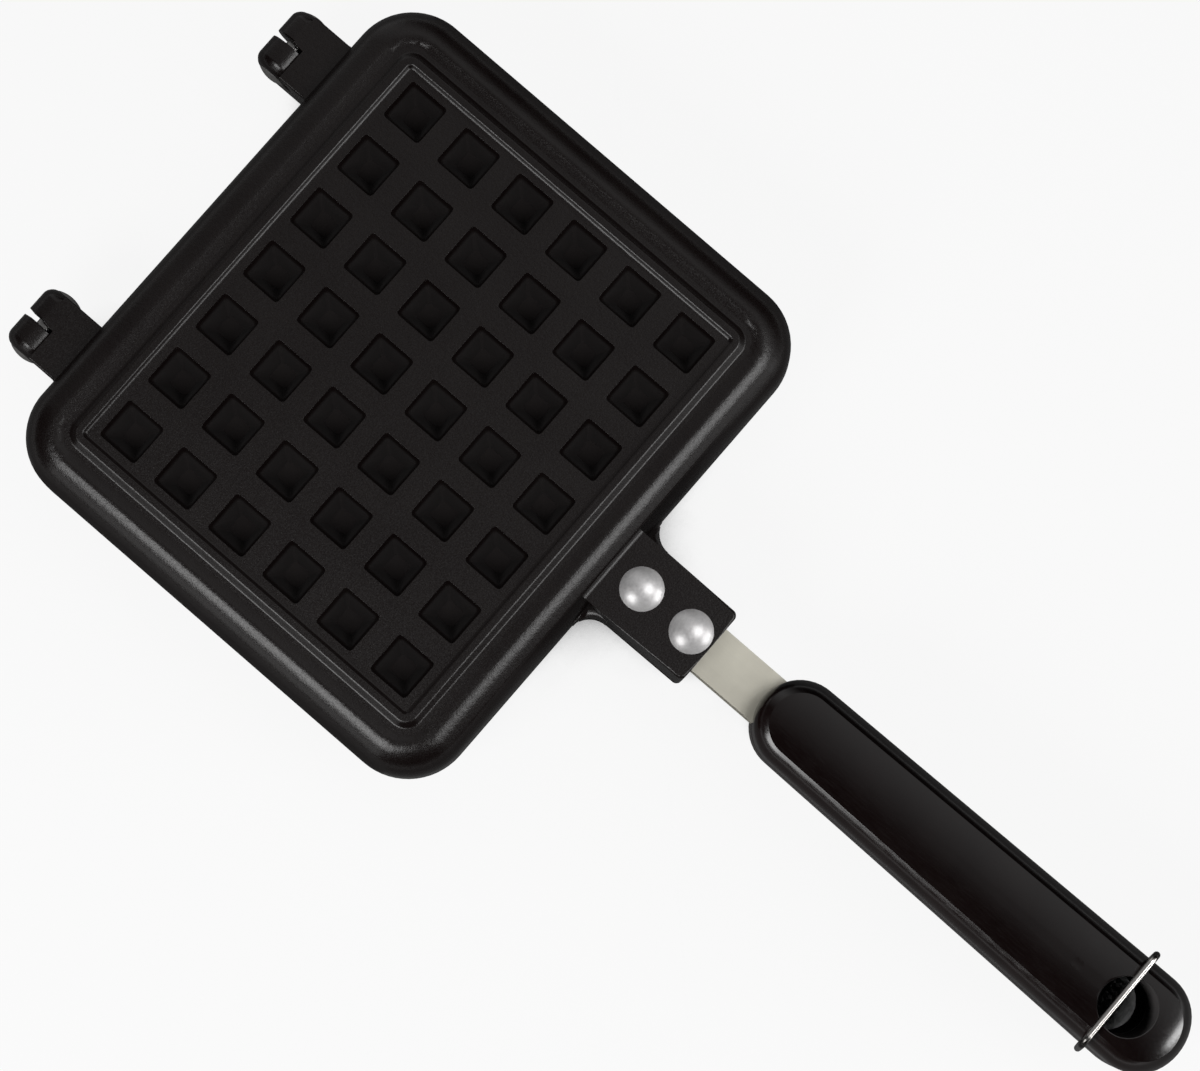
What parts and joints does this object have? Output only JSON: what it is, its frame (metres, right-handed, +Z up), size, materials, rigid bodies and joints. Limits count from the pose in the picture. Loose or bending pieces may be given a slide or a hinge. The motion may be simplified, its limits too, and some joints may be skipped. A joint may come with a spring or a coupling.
{
  "type": "stovetop waffle iron",
  "caption": "Hinged two-plate stovetop waffle iron with a dimpled grid, long moulded handles on riveted steel strips and a wire bail latch.",
  "frame": {"origin": "on the floor, under the middle of the closed iron's outline", "axes": "+Z up through the closed iron, +Y from the handle tips towards the hinges, +X across the pan"},
  "size_m": [0.15, 0.328, 0.0305],
  "materials": {
    "coated_casting": "cast aluminium with a satin black non-stick coating",
    "steel_pin": "blackened steel pin",
    "strip_steel": "bright rolled steel strip",
    "rivet_aluminium": "bright aluminium rivet",
    "handle_moulding": "black heat-proof phenolic moulding, satin gloss",
    "wire_steel": "bright drawn steel wire"
  },
  "bodies": {
    "lower_half": {"lower_casting": "coated_casting", "hinge_pin_left": "steel_pin", "hinge_pin_right": "steel_pin", "lower_strip": "strip_steel", "lower_rivet_front": "rivet_aluminium", "lower_rivet_rear": "rivet_aluminium", "lower_handle": "handle_moulding"},
    "upper_half": {"upper_casting": "coated_casting", "upper_strip": "strip_steel", "upper_rivet_front": "rivet_aluminium", "upper_rivet_rear": "rivet_aluminium", "upper_handle": "handle_moulding"},
    "latch": {"latch_bail": "wire_steel"}
  },
  "joints": [
    {"name": "lid_hinge", "type": "hinge", "parent": "lower_half", "child": "upper_half", "pos_m": [0, 0.15805, 0.0146], "axis": [-1, 0, 0], "range_deg": [0, 180]},
    {"name": "latch_swing", "type": "hinge", "parent": "lower_half", "child": "latch", "pos_m": [0, -0.1471, 0.0051], "axis": [1, 0, 0], "range_deg": [0, 105]}
  ]
}
